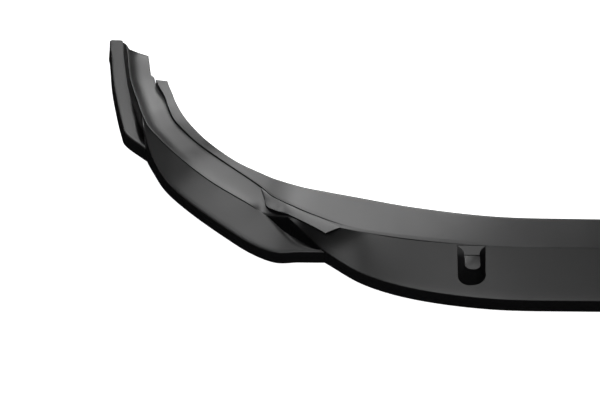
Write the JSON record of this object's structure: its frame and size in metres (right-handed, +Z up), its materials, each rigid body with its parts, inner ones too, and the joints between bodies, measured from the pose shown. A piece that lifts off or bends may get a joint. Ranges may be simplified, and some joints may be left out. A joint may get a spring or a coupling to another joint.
{
  "type": "front splitter lip",
  "caption": "Moulded plastic front splitter lip for a car: overlapping blades with twisting fins, a bowed front edge and a stepped seat that fits up under the bumper.",
  "frame": {"origin": "on the ground under the part, midway between its two ends and midway between its nose and the rear ends of its arms", "axes": "+X across the car towards one end of the part, the front edge faces -Y and the arms run back towards +Y, +Z up"},
  "size_m": [1.848, 0.583, 0.0643],
  "materials": {
    "satin_abs": "satin black, even fine moulding grain, not painted"
  },
  "bodies": {
    "root": {"splitter_lip": "satin_abs"}
  },
  "joints": []
}
